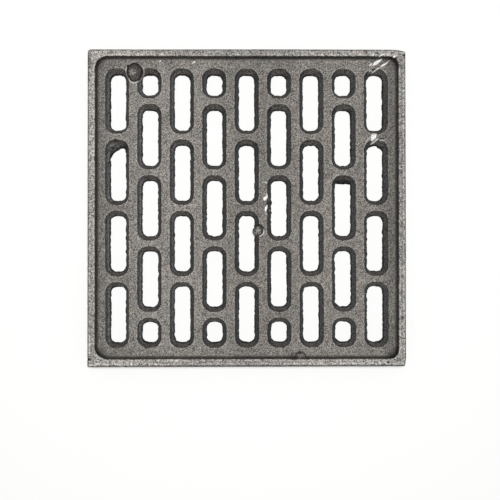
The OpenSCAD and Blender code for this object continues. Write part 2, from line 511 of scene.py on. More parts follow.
@dataclass
class IronPattern:
    """Places, directions and distances that the iron's colours are laid out by.

    Attributes:
        n: The tree to build in.
        plan: Outlines that the pattern follows.
        waves: Size of the waves in all outlines.
        edge_waver: How far they move the edges of the slots and the rim.
        mark_waver: How far they move the marks.
        fine: The fine grain.
        broad: The coarse mottle, with its brightness all over.
    """

    n: NodeTree
    plan: GrillePlan
    waves: float = 2.2 * MM
    edge_waver: float = 0.9 * MM
    mark_waver: float = 0.3 * MM
    fine: Mottle = Mottle(0.52, (0.38, 0.64, 0.30, 1.80), rough=0.6)
    broad: Mottle = Mottle(3.0, (0.3, 0.7, 0.90, 1.10), detail=2.0)

    def __post_init__(self) -> None:
        """Builds the places and then the distances."""
        n, plan = self.n, self.plan
        source = n.add("ShaderNodeTexCoord", {})
        self.place = source.outputs["Object"]
        self.x, self.y, self.z = n.split(self.place)
        self.facing_x, self.facing_y, self.facing_z = n.split(source.outputs["Normal"])
        wobble = n.noise(self.place, self.waves, 2.0).outputs["Color"]
        shift = n.vector("SUBTRACT", wobble, (0.5, 0.5, 0.5)).outputs[0]
        wavy = n.vector("ADD", self.place, n.scale(shift, self.edge_waver)).outputs[0]
        core = n.vector("SUBTRACT", wavy, plan.core_shift + (0.0,)).outputs[0]
        across, self.along, _ = n.split(core)
        narrow = n.math("ADD", n.fade(self.y, plan.narrow_low), plan.narrow)
        window = n.times(*(n.fade(self.x, side) for side in plan.first_wall))
        self.across = n.math("SUBTRACT", across, n.times(narrow, window))
        calm = n.vector("ADD", self.place, n.scale(shift, self.mark_waver)).outputs[0]
        self.flat = n.vector("MULTIPLY", calm, (1.0, 1.0, 0.0)).outputs[0]

        self.grain = n.grains(self.place, self.fine)
        self.coarse = n.grains(self.place, self.broad)
        self.speckle = n.ramp(self.grain, *self.fine.tones)
        self.from_slot = self.slot_distance()
        self.from_rim = self.rim_distance()
        self.from_side = self.side_distance()
        self.from_bead = n.disc(self.flat, *plan.bead)
        self.from_lump = n.disc(self.flat, *plan.lump)
        self.from_hole = self.hole_distance()

    def slot_distance(self) -> Socket:
        """Measures how far a point lies outside the nearest slot's mouth.

        Returns:
            The distance, less than zero inside a slot.
        """
        n, plan = self.n, self.plan
        rows = plan.row_pitch
        column = n.math("ROUND", n.math("DIVIDE", self.across, plan.column_pitch))
        column = n.math("MAXIMUM", n.math("MINIMUM", column, plan.outer_column), -plan.outer_column)
        middle = n.math("MULTIPLY", column, plan.column_pitch)
        across = n.math("ABSOLUTE", n.math("SUBTRACT", self.across, middle))
        staggered = n.math("PINGPONG", column, 1.0)
        half_row = n.math("MULTIPLY", n.rest(staggered), 0.5)
        away = n.math("ABSOLUTE", self.along)
        row = n.math("ROUND", n.math("SUBTRACT", n.math("DIVIDE", away, rows), half_row))
        row = n.math("MAXIMUM", n.math("MINIMUM", row, 1.0), 0.0)
        middle = n.math("MULTIPLY", n.math("ADD", row, half_row), rows)
        short = n.math("MULTIPLY", staggered, n.math("GREATER_THAN", away, 1.5 * rows))
        middle = n.mix(short, middle, plan.field_half - plan.short_length / 2)
        shorter = (plan.short_length - plan.slot_length) / 2
        half = n.math("MULTIPLY_ADD", short, shorter, plan.slot_length / 2)
        along = n.math("ABSOLUTE", n.math("SUBTRACT", away, middle))
        return n.rounded_box(across, along, plan.slot_width / 2, half, plan.mouth_corner)

    def rim_distance(self) -> Socket:
        """Measures how far a point lies outside the recess's outline at the rim's top.

        Returns:
            The distance, less than zero inside the recess.
        """
        n, plan = self.n, self.plan
        right = n.math("GREATER_THAN", self.x, 0.0)
        above = n.math("GREATER_THAN", self.y, 0.0)
        room_x = n.times(right, n.math("MULTIPLY_ADD", self.y, plan.right_flare, plan.right_room))
        room_y = n.mix(above, n.fade(self.x, plan.low_room), n.fade(self.x, plan.top_room))
        self.side_x = n.math("SUBTRACT", n.math("ABSOLUTE", self.across), room_x)
        self.side_y = n.math("SUBTRACT", n.math("ABSOLUTE", self.along), room_y)
        corner = n.mix(right, plan.left_corner, plan.rim_corner)
        return n.rounded_box(self.side_x, self.side_y, plan.rim_inner, plan.rim_inner, corner)

    def side_distance(self) -> Socket:
        """Measures how far a point lies outside the plate's sides at the top.

        Returns:
            The distance, less than zero inside the sides.
        """
        n, plan = self.n, self.plan
        sunk = n.math("ADD", n.fade(self.x, plan.sag), n.fade(self.x, plan.corner_sag))
        sunk = n.mix(n.math("GREATER_THAN", self.y, 0.0), plan.low_lean, sunk)
        up = n.math("ADD", n.math("ABSOLUTE", self.y), sunk)
        farther = n.math("MAXIMUM", n.math("ABSOLUTE", self.x), up)
        return n.math("SUBTRACT", farther, plan.side_half)

    def hole_distance(self) -> Socket:
        """Measures how far a point lies outside the pit.

        Returns:
            The distance to the nearest of its circles after all pulls, less than zero inside.
        """
        n = self.n
        pit = self.flat
        for (x, y), shift, reach in self.plan.pit_shifts:
            near = n.fade(n.disc(self.flat, x, y, 0.0), Fade(0.0, reach, 1.0, 0.0))
            pull = n.scale((shift[0] * MM, shift[1] * MM, 0.0), near)
            pit = n.vector("SUBTRACT", pit, pull).outputs[0]
        distance: Value = 1.0
        for lobe in self.plan.hole_lobes:
            distance = n.math("MINIMUM", distance, n.disc(pit, *lobe))
        return distance

    def streak_mask(self, streak: Streak, kind: Mark) -> Socket:
        """Gives 1 inside a streak, which narrows to its ends unless it is a dot.

        Args:
            streak: The streak.
            kind: What it looks like.

        Returns:
            The mask.
        """
        n = self.n
        start = (streak.x * MM, streak.y * MM, 0.0)
        run = ((streak.end_x - streak.x) * MM, (streak.end_y - streak.y) * MM, 0.0)
        square = run[0] ** 2 + run[1] ** 2
        offset = n.vector("SUBTRACT", self.flat, start).outputs[0]
        share = n.math("DIVIDE", n.vector("DOT_PRODUCT", offset, run).outputs["Value"], square)
        share = n.math("MAXIMUM", n.math("MINIMUM", share, 1.0), 0.0)
        away = n.vector("DISTANCE", offset, n.scale(run, share)).outputs["Value"]
        middle = n.math("ABSOLUTE", n.math("SUBTRACT", share, 0.5))
        width = streak.width * MM
        dot = square <= (streak.dot_length * width) ** 2
        narrowing = 0.0 if dot else -streak.taper * width
        half = n.math("MULTIPLY_ADD", n.times(middle, middle), narrowing, 0.5 * width)
        soft = (streak.hard_edge if dot or kind is Mark.BRIGHT else streak.soft_edge) * width
        edge = n.ramp(n.math("SUBTRACT", half, away), -streak.spread * soft, soft)
        return n.times(edge, streak.strength)

    def streaks(self, kind: Mark) -> Socket:
        """Joins the masks of all streaks of one kind.

        Args:
            kind: The kind.

        Returns:
            The mask.
        """
        mask: Value = 0.0
        for row in STREAKS[kind]:
            mask = self.n.math("MAXIMUM", mask, self.streak_mask(Streak(*row), kind))
        return mask


@dataclass(frozen=True)
class FloorPaint:
    """The floor: grey grain, with painted shade along the rim's foot, beside the rim and in the recess's
    corners, and a painted highlight along the slots' mouths.

    Attributes:
        color: Its colour.
        wave_length: Length of the broad waves of brightness across it.
        wave_start: Where they start, to the left.
        wave_tone: Their depth and their middle.
        across: Brightness of the middle and of the right, going right.
        strips: Brightness of the strips along the rim's left and right side, a painted shade.
        end_strips: Where the painted shade in the strips above and below the slots begins.
        end_left: How much of that painted shade shows, going right.
        end_shade_tone: Their brightness in that painted shade.
        foot_widening: How much wider the rim's foot is, less and less going up.
        foot_grit: How far the grain breaks up the foot's edge.
        foot: Where the painted shade at the rim's foot falls, from the rim.
        foot_shade_tone: Brightness in that painted shade.
        corner: Where the recess's corners begin.
        corner_right: Depth of their painted shade, going right.
        corner_low: How much deeper it is below the middle.
        corner_reach: Where it falls, from the rim.
        lip: The painted highlight, a paler line along each mouth.
        lip_highlight_gain: How much paler it is.
    """

    color: Color = IRON
    wave_length: float = 110.0 * MM
    wave_start: float = 45.0 * MM
    wave_tone: Pair = (0.10, 0.96)
    across: tuple[Fade, Fade] = (Fade(-25.0, 5.0, 1.0, 0.93), Fade(20.0, 85.0, 1.0, 0.95))
    strips: tuple[Fade, Fade] = (Fade(-92.0, -84.0, 0.84, 1.0), Fade(83.0, 91.0, 1.0, 0.73))
    end_strips: Fade = Fade(85.0, 90.0)
    end_left: Fade = Fade(-80.0, 20.0, 1.0, 0.0)
    end_shade_tone: float = 0.88
    foot_widening: Fade = Fade(84.0, 92.0, 0.22 * MM, 0.0)
    foot_grit: float = 1.6 * MM
    foot: Fade = Fade(-2.05, -0.75)
    foot_shade_tone: float = 0.31
    corner: Fade = Fade(86.0, 90.5)
    corner_right: Fade = Fade(-1.0, 1.0, 0.25, 0.45)
    corner_low: Fade = Fade(-1.0, 1.0, 0.15, 0.0)
    corner_reach: Fade = Fade(-4.4, -2.2)
    lip: Band = Band(0.45, 0.2, 0.35)
    lip_highlight_gain: float = 0.20

    def paint(self, p: IronPattern) -> Socket:
        """Gives the floor's colour.

        Args:
            p: The pattern to lay it out by.

        Returns:
            The colour.
        """
        n = p.n
        turn = n.times(n.math("ADD", p.x, self.wave_start), 2 * math.pi / self.wave_length)
        tone = n.math("MULTIPLY_ADD", n.math("COSINE", turn), *self.wave_tone)
        tone = n.times(tone, *(n.fade(p.x, part) for part in self.across))
        # Painted shade: darker strips beside the rim's sides and ends, and darker still along the rim's foot.
        painted_rim_shade = n.times(*(n.fade(p.x, side) for side in self.strips))
        by_end = n.times(n.fade(p.side_y, self.end_strips), n.fade(p.x, self.end_left))
        painted_rim_shade = n.times(painted_rim_shade, n.mix(by_end, 1.0, self.end_shade_tone))
        from_rim = n.math("ADD", p.from_rim, n.fade(p.y, self.foot_widening))
        grit = n.times(n.math("SUBTRACT", p.grain, 0.5), self.foot_grit)
        painted_rim_shade = n.mix(n.fade(n.math("ADD", from_rim, grit), self.foot), painted_rim_shade, self.foot_shade_tone)
        # Painted shade in the recess's corners, deeper to the right and below the middle.
        corner = n.times(n.fade(p.side_x, self.corner), n.fade(p.side_y, self.corner))
        shade = n.math("ADD", n.fade(p.x, self.corner_right), n.fade(p.y, self.corner_low))
        painted_corner_shade = n.times(corner, shade, n.fade(p.from_rim, self.corner_reach))
        # Painted highlight: a paler line along each slot's mouth, where its rounded edge would catch the
        # light.
        lips = n.math("MULTIPLY_ADD", n.band(p.from_slot, self.lip), self.lip_highlight_gain, 1.0)
        return n.scale(self.color, n.times(tone, painted_rim_shade, n.rest(painted_corner_shade), lips, p.speckle))


@dataclass(frozen=True)
class RimPaint:
    """The rim's worn top: a painted highlight along each edge and a dark outline of painted shade.

    Attributes:
        color: Its colour.
        grain: Its grain.
        blobs: Its blobs.
        right: Where its right side begins.
        left: Where its left side ends.
        high: Where its upper side begins.
        low: Where its lower side ends.
        across: Brightness, going right.
        left_tone: Brightness of the left side, going up.
        right_tone: The same of the right side.
        darkest: Distance of the darkest place from the middle, to the left.
        low_tone: Brightness of the lower side, away from that place.
        high_tone: The same of the upper side.
        inner: The painted highlight along the inner edge.
        inner_highlight_gain: How much paler that painted highlight makes it, elsewhere and on the right.
        inner_right: Where that gain begins on the upper side.
        outer: The painted highlight along the outer edge.
        outer_highlight_gain: How much paler that painted highlight makes it.
        outer_right: Its strength on the right side, going up.
        outer_left: The same on the left side, as a sum of two.
        low_outer_highlight: The painted highlight along the lower side.
        low_strength: Its strength.
        outline: The dark outline, a painted shade along the outer edge's rounding.
        outline_low: How much further in it lies on the lower side.
        bare_right: Distance to the right past which the outline can be missing.
        bare_up: Where it is missing there, going up.
    """

    color: Color = (0.211, 0.199, 0.186, 1.0)
    grain: Mottle = Mottle(0.72, (0.32, 0.68, 0.20, 1.80), detail=2.0, rough=0.6)
    blobs: Mottle = Mottle(2.4, (0.36, 0.64, 0.88, 1.12))
    right: Fade = Fade(94.0, 96.0)
    left: Fade = Fade(-96.0, -94.0, 1.0, 0.0)
    high: Fade = Fade(94.0, 96.0)
    low: Fade = Fade(-96.0, -94.0, 1.0, 0.0)
    across: Fade = Fade(-95.0, 95.0, 0.97, 0.87)
    left_tone: Fade = Fade(-80.0, 80.0, 0.84, 1.14)
    right_tone: Fade = Fade(-60.0, -30.0, 0.90, 0.78)
    darkest: float = 10.0 * MM
    low_tone: Fade = Fade(15.0, 75.0, 0.86, 1.18)
    high_tone: Fade = Fade(15.0, 75.0, 0.93, 1.18)
    inner: Band = Band(0.65, 0.25, 0.35)
    inner_highlight_gain: Pair = (0.22, 0.42)
    inner_right: Fade = Fade(30.0, 60.0)
    outer: Band = Band(-1.25, 0.25, 0.35)
    outer_highlight_gain: float = 0.36
    outer_right: Fade = Fade(-60.0, 20.0, 1.5, 2.0)
    outer_left: tuple[Fade, Fade] = (Fade(-30.0, 0.0, 0.7, 0.0), Fade(-82.0, -76.0, 1.6, 0.0))
    low_outer_highlight: Band = Band(-2.0, 0.25, 0.4)
    low_strength: float = 0.8
    outline: Fade = Fade(-0.95, -0.6, 0.0, 0.55)
    outline_low: float = 0.4 * MM
    bare_right: float = 98.4 * MM
    bare_up: Fade = Fade(-80.0, -55.0)

    def paint(self, p: IronPattern) -> Socket:
        """Gives the rim's colour.

        Args:
            p: The pattern to lay it out by.

        Returns:
            The colour.
        """
        n = p.n
        right, left = n.fade(p.x, self.right), n.fade(p.x, self.left)
        high, low = n.fade(p.y, self.high), n.fade(p.y, self.low)
        away = n.math("ABSOLUTE", n.math("ADD", p.x, self.darkest))
        tone = n.fade(p.x, self.across)
        for side, place, change in (
            (left, p.y, self.left_tone),
            (low, away, self.low_tone),
            (high, away, self.high_tone),
            (right, p.y, self.right_tone),
        ):
            tone = n.times(tone, n.mix(side, 1.0, n.fade(place, change)))
        # Painted highlights: paler lines along the rim's inner edge, and near its outer edge on the sides and
        # below.
        by_right = n.math("MAXIMUM", right, n.times(high, n.fade(p.x, self.inner_right)))
        inner = n.times(n.band(p.from_rim, self.inner), n.mix(by_right, *self.inner_highlight_gain))
        on_left = n.times(left, n.math("ADD", *(n.fade(p.y, part) for part in self.outer_left)))
        on_sides = n.math("MAXIMUM", n.times(right, n.fade(p.y, self.outer_right)), on_left)
        on_low = n.times(n.band(p.from_side, self.low_outer_highlight), low, self.low_strength)
        outer = n.math("MAXIMUM", n.times(n.band(p.from_side, self.outer), on_sides), on_low)
        bare = n.times(n.math("GREATER_THAN", p.x, self.bare_right), n.fade(p.y, self.bare_up))
        # Painted shade: a dark outline on the rim's outer rounding, missing in one stretch on the right.
        dark = n.fade(n.math("ADD", p.from_side, n.times(low, self.outline_low)), self.outline)
        dark = n.times(dark, n.rest(bare))
        edges = n.times(n.math("MULTIPLY_ADD", outer, self.outer_highlight_gain, 1.0), n.rest(dark))
        grain, blobs = n.mottle(p.place, self.grain), n.mottle(p.place, self.blobs)
        return n.scale(self.color, n.times(tone, n.math("ADD", inner, 1.0), edges, grain, blobs))


@dataclass(frozen=True)
class WallPaint:
    """The slots' walls: iron darkened as painted shade, lighter or darker by the way each wall faces, and
    almost black along their low edges.

    Attributes:
        side: Colour of the side walls, the iron darkened as painted shade.
        end: Colour of the end walls, the iron darkened as painted shade.
        facing: Where a wall turns to face the other way, by its normal.
        ending: Where a side wall turns into an end wall.
        left_tone: Painted light and shade of the walls that face right, going right.
        right_tone: The same of those that face left.
        top_painted_light: Painted light and shade of the upper end walls, going up.
        bottom_painted_light: The same of the lower ones.
        height: Painted shade by height, near black at the low edge.
        mouth: Where the painted shade along the mouths ends.
        mouth_shade_tone: Brightness in that painted shade, elsewhere and on the walls that face right.
        pores: The pores.
        blotches: The blotches.
        upward: Where the thin flash lies, by its normal.
        flash: Its brightness, by the coarse mottle.
    """

    side: Color = (0.040, 0.039, 0.039, 1.0)
    end: Color = (0.043, 0.039, 0.035, 1.0)
    facing: Pair = (-0.25, 0.25)
    ending: Pair = (0.5, 0.9)
    left_tone: Fade = Fade(-80.0, 25.0, 2.4, 0.5)
    right_tone: Fade = Fade(5.0, 45.0, 0.50, 1.05)
    top_painted_light: Fade = Fade(-50.0, 80.0, 1.28, 1.5)
    bottom_painted_light: Fade = Fade(-60.0, 40.0, 1.2, 0.75)
    height: Fade = Fade(1.2, 3.0, 0.03, 1.22)
    mouth: Fade = Fade(-1.5, -0.7)
    mouth_shade_tone: Pair = (0.9, 0.45)
    pores: Mottle = Mottle(1.2, (0.57, 0.64, 1.0, 0.35))
    blotches: Mottle = Mottle(0.95, (0.36, 0.64, 0.44, 1.72))
    upward: Pair = (0.5, 0.9)
    flash: Tones = (0.4, 0.6, 0.45, 0.75)

    def paint(self, p: IronPattern) -> Socket:
        """Gives the walls' colour.

        Args:
            p: The pattern to lay it out by.

        Returns:
            The colour.
        """
        n = p.n
        # Painted light and shade: each wall is lighter or darker by the way it faces, right or left, up or
        # down the plate.
        on_left = n.ramp(p.facing_x, *self.facing)
        on_top = n.ramp(p.facing_y, *self.facing, 1.0, 0.0)
        on_end = n.ramp(n.math("ABSOLUTE", p.facing_y), *self.ending)
        sides = n.mix(on_left, n.fade(p.x, self.right_tone), n.fade(p.x, self.left_tone))
        ends = n.mix(on_top, n.fade(p.y, self.bottom_painted_light), n.fade(p.y, self.top_painted_light))
        # Painted shade darkens the walls to near black toward their low edges.
        tone = n.times(n.mix(on_end, sides, ends), n.fade(p.z, self.height))
        # Painted shade along the mouths, deeper on the walls that face right.
        shade = n.mix(n.times(on_left, n.rest(on_end)), *self.mouth_shade_tone)
        tone = n.times(tone, n.mix(n.fade(p.from_slot, self.mouth), 1.0, shade))
        pores, blotches = n.mottle(p.place, self.pores), n.mottle(p.place, self.blotches)
        sand = n.times(n.ramp(p.coarse, *self.flash), p.speckle)
        flash = n.mix(n.ramp(p.facing_z, *self.upward), 1.0, sand)
        # The side and end colours are the iron darkened as painted shade.
        return n.scale(n.blend(on_end, self.side, self.end), n.times(tone, pores, blotches, flash))


@dataclass(frozen=True)
class PitPaint:
    """The pit: clots round a pale middle that darken outward as painted shade, a black edge of painted shade
    and a bright torn lip with a painted highlight.

    Attributes:
        color: Colour of the iron in it.
        edge_shade_color: Colour of the painted shade on its edge.
        lip_highlight_color: Colour of the painted highlight on its lip.
        clots: The clots.
        middle: Where it is palest, in millimetres.
        depth: Painted shade away from there, darker toward its outline.
        inside: Where it begins, from its outline.
        edge: The black line of painted shade inside the outline.
        edge_shade_strength: How fully that covers the iron.
        lip: The bright line outside it, a painted highlight.
        lip_up: Strength of the lip, going up the plate.
        lip_height: The same by height, less on the slots' walls.
    """

    color: Color = IRON
    edge_shade_color: Color = BLACK
    lip_highlight_color: Color = (0.400, 0.385, 0.360, 1.0)
    clots: Mottle = Mottle(1.1, (0.36, 0.64, 0.55, 1.45), detail=2.0)
    middle: Place = (-72.5, 86.5)
    depth: Fade = Fade(0.6, 3.2, 1.15, 0.36)
    inside: Fade = Fade(-0.2, 0.05, 1.0, 0.0)
    edge: Band = Band(-0.4, 0.22, 0.4)
    edge_shade_strength: float = 0.93
    lip: Band = Band(0.45, 0.15, 0.3)
    lip_up: Fade = Fade(88.0, 91.0, 0.75, 0.15)
    lip_height: Fade = Fade(2.5, 5.0, 0.35, 1.0)

    def paint(self, p: IronPattern, color: Value) -> Socket:
        """Lays the pit over a colour.

        Args:
            p: The pattern to lay it out by.
            color: The colour below.

        Returns:
            The colour with the pit.
        """
        n = p.n
        # Painted shade: the pit darkens away from its palest place toward its outline.
        depth = n.fade(n.disc(p.flat, *self.middle, 0.0), self.depth)
        iron = n.scale(self.color, n.times(depth, n.mottle(p.place, self.clots), p.speckle))
        color = n.blend(n.fade(p.from_hole, self.inside), color, iron)
        # Painted shade: a black line just inside the pit's outline.
        edge = n.times(n.band(p.from_hole, self.edge), self.edge_shade_strength)
        color = n.blend(edge, color, self.edge_shade_color)
        # Painted highlight: a bright line on the torn lip, stronger toward the bottom of the plate and weaker
        # low on the slots' walls.
        strength = n.times(n.fade(p.y, self.lip_up), n.fade(p.z, self.lip_height))
        return n.blend(n.times(n.band(p.from_hole, self.lip), strength), color, self.lip_highlight_color)


@dataclass(frozen=True)
class BeadPaint:
    """The bead in a slot, with painted shade along its edge and in the gap round its upper right.

    Attributes:
        color: Its colour.
        dark: Colour of the painted shade on its edge and in the gap.
        clots: The clots on it.
        inside: Where it begins, from its outline.
        edge: The painted shade along the outline.
        edge_shade_strength: How fully that painted shade covers the iron, away from the slot.
        gap: The gap beside it, darkened as painted shade.
        gap_corner: Where the gap is, by the sum of both places.
        gap_up: Where it is, going up.
    """

    color: Color = IRON
    dark: Color = BLACK
    clots: Mottle = Mottle(1.4, (0.38, 0.62, 0.3, 1.1), detail=2.0)
    inside: Fade = Fade(-0.3, 0.0, 1.0, 0.0)
    edge: Band = Band(0.1, 0.15, 0.3)
    edge_shade_strength: Fade = Fade(-1.0, 0.0, 0.0, 0.7)
    gap: Band = Band(0.85, 0.5, 0.3)
    gap_corner: Fade = Fade(-5.6, -4.6)
    gap_up: Fade = Fade(-13.6, -12.6)

    def paint(self, p: IronPattern, color: Value) -> Socket:
        """Lays the bead over a colour.

        Args:
            p: The pattern to lay it out by.
            color: The colour below.

        Returns:
            The colour with the bead.
        """
        n = p.n
        iron = n.scale(self.color, n.times(n.mottle(p.place, self.clots), p.speckle))
        color = n.blend(n.fade(p.from_bead, self.inside), color, iron)
        # Painted shade: a dark line along the bead's outline.
        edge = n.times(n.band(p.from_bead, self.edge), n.fade(p.from_slot, self.edge_shade_strength))
        color = n.blend(edge, color, self.dark)
        # Painted shade in the gap round the bead's upper right.
        x, y, _ = n.split(p.flat)
        upper_right = n.times(n.fade(n.math("ADD", x, y), self.gap_corner), n.fade(y, self.gap_up))
        return n.blend(n.times(n.band(p.from_bead, self.gap), upper_right), color, self.dark)


@dataclass(frozen=True)
class MarkPaint:
    """Stains, light rust, pores, painted shadows and scratches.

    Attributes:
        stain: Colour of the stains, and of the painted shade round the lump.
        rust: Colour of the faint rust.
        pore_and_shadow: Colour of pores and of painted shadows under a fold of metal.
        bright: Colour of freshly scratched iron.
        crevice_shade: Painted shade along the lump's outline, in the stains' colour.
        crevice_up: Its strength, going up.
        rust_patches: Strength of the rust, by the coarse mottle.
        stain_patches: Strength of the stains.
        scratch_grain: Strength of the scratches, by the grain.
    """

    stain: Color = (0.027, 0.017, 0.016, 1.0)
    rust: Color = (0.085, 0.058, 0.050, 1.0)
    pore_and_shadow: Color = BLACK
    bright: Color = (0.680, 0.665, 0.640, 1.0)
    crevice_shade: Band = Band(0.15, 0.3, 0.35)
    crevice_up: Fade = Fade(-95.2, -94.4, 0.0, 0.4)
    rust_patches: Tones = (0.35, 0.6, 0.4, 1.0)
    stain_patches: Mottle = Mottle(0.9, (0.38, 0.56, 0.45, 1.0))
    scratch_grain: Tones = (0.30, 0.55, 0.45, 1.0)

    def scratches(self, p: IronPattern) -> Socket:
        """Gives how fully scratches bare the iron."""
        return p.n.times(p.streaks(Mark.BRIGHT), p.n.ramp(p.grain, *self.scratch_grain))

    def paint(self, p: IronPattern, color: Value, scratched: Value) -> Socket:
        """Lays the marks over a colour.

        Args:
            p: The pattern to lay it out by.
            color: The colour below.
            scratched: How fully scratches bare the iron.

        Returns:
            The colour with its marks.
        """
        n = p.n
        # Painted shade in the crevice round the lump's foot, in the stains' colour.
        crevice_shade = n.times(n.band(p.from_lump, self.crevice_shade), n.fade(p.y, self.crevice_up))
        color = n.blend(crevice_shade, color, self.stain)
        rust = n.times(p.streaks(Mark.RUST), n.ramp(p.coarse, *self.rust_patches))
        color = n.blend(rust, color, n.scale(self.rust, p.speckle))
        stain = n.times(p.streaks(Mark.STAIN), n.mottle(p.place, self.stain_patches))
        color = n.blend(stain, color, self.stain)
        # The dark marks are pores and painted shadows under folds of metal.
        color = n.blend(p.streaks(Mark.DARK), color, self.pore_and_shadow)
        return n.blend(scratched, color, self.bright)


@dataclass(frozen=True)
class CastIronFinish:
    """Bare sand-cast iron: grey grain, a paler rim, dark slot walls, scratches and light rust, with painted
    shade and painted highlights in its colour.

    Attributes:
        plan: Outlines that its pattern follows.
        floor: Paint of the floor.
        rim: Paint of the rim's top.
        walls: Paint of the slots' walls.
        pit: Paint of the pit.
        bead: Paint of the bead.
        marks: Paint of the marks.
        under: Colour of the underside and the outer sides.
        rim_edge: Where the rim begins.
        slot_edge: Where the slots' walls begin.
        side_edge: Where the outer sides begin.
        downward: Where the skin turns to face down, by its normal.
        drift: Broad drift of the brightness.
        tint: Share of the cool tint.
        warm: The warm tint.
        cool: The cool tint.
        roughness: Roughness of bare and of scratched iron.
        specular: Strength of its gloss.
        bump: Strength of the bump.
        bump_depth: Depth of the bump.
        scratch_depth: How far scratches cut down the grain.
    """

    plan: GrillePlan = GrillePlan()
    floor: FloorPaint = FloorPaint()
    rim: RimPaint = RimPaint()
    walls: WallPaint = WallPaint()
    pit: PitPaint = PitPaint()
    bead: BeadPaint = BeadPaint()
    marks: MarkPaint = MarkPaint()
    under: Color = (0.110, 0.102, 0.094, 1.0)
    rim_edge: Fade = Fade(-0.15, 0.15)
    slot_edge: Fade = Fade(-0.12, 0.12, 1.0, 0.0)
    side_edge: Fade = Fade(-0.35, -0.15)
    downward: Tones = (-0.7, -0.4, 1.0, 0.0)
    drift: Mottle = Mottle(16.0, (0.3, 0.7, 0.92, 1.08), detail=2.0)
    tint: Mottle = Mottle(2.6, (0.36, 0.64, 0.0, 1.0), detail=2.0)
    warm: Color = (1.03, 0.99, 0.98, 1.0)
    cool: Color = (0.97, 1.01, 1.01, 1.0)
    roughness: Pair = (0.72, 0.42)
    specular: float = 0.25
    bump: float = 0.6
    bump_depth: float = 0.2 * MM
    scratch_depth: float = 0.5

    def paint(self, p: IronPattern, scratched: Value, low: Value) -> Socket:
        """Joins all paints, and varies them a little all over.

        Args:
            p: The pattern to lay it out by.
            scratched: How fully scratches bare the iron.
            low: Mask of the underside.

        Returns:
            The colour.
        """
        n = p.n
        color = n.blend(n.fade(p.from_rim, self.rim_edge), self.floor.paint(p), self.rim.paint(p))
        color = n.blend(n.fade(p.from_slot, self.slot_edge), color, self.walls.paint(p))
        color = self.bead.paint(p, self.pit.paint(p, color))
        dull = n.math("MAXIMUM", low, n.fade(p.from_side, self.side_edge))
        color = n.blend(dull, color, n.scale(self.under, p.speckle))
        color = n.blend(low, self.marks.paint(p, color, scratched), color)
        drift = n.times(n.ramp(p.coarse, *p.broad.tones), n.mottle(p.place, self.drift))
        tint = n.blend(n.mottle(p.place, self.tint), self.warm, self.cool)
        return n.vector("MULTIPLY", n.scale(color, drift), tint).outputs[0]

    def make(self) -> bpy.types.Material:
        """Builds the material.

        Returns:
            The finished material.
        """
        n = NodeTree(bpy.data.materials.new("sand_cast_iron"))
        p = IronPattern(n, self.plan)
        low = n.ramp(p.facing_z, *self.downward)
        scratched = n.times(self.marks.scratches(p), n.rest(low))
        height = n.math("SUBTRACT", p.grain, n.times(scratched, self.scratch_depth))
        bump = n.add("ShaderNodeBump", {"Strength": self.bump, "Distance": self.bump_depth, "Height": height})
        inputs = {
            "Base Color": self.paint(p, scratched, low),
            "Roughness": n.ramp(scratched, 0.0, 1.0, *self.roughness),
            "Metallic": 0.0,
            "Specular IOR Level": self.specular,
            "Normal": bump.outputs["Normal"],
        }
        return n.finish(n.add("ShaderNodeBsdfPrincipled", inputs))


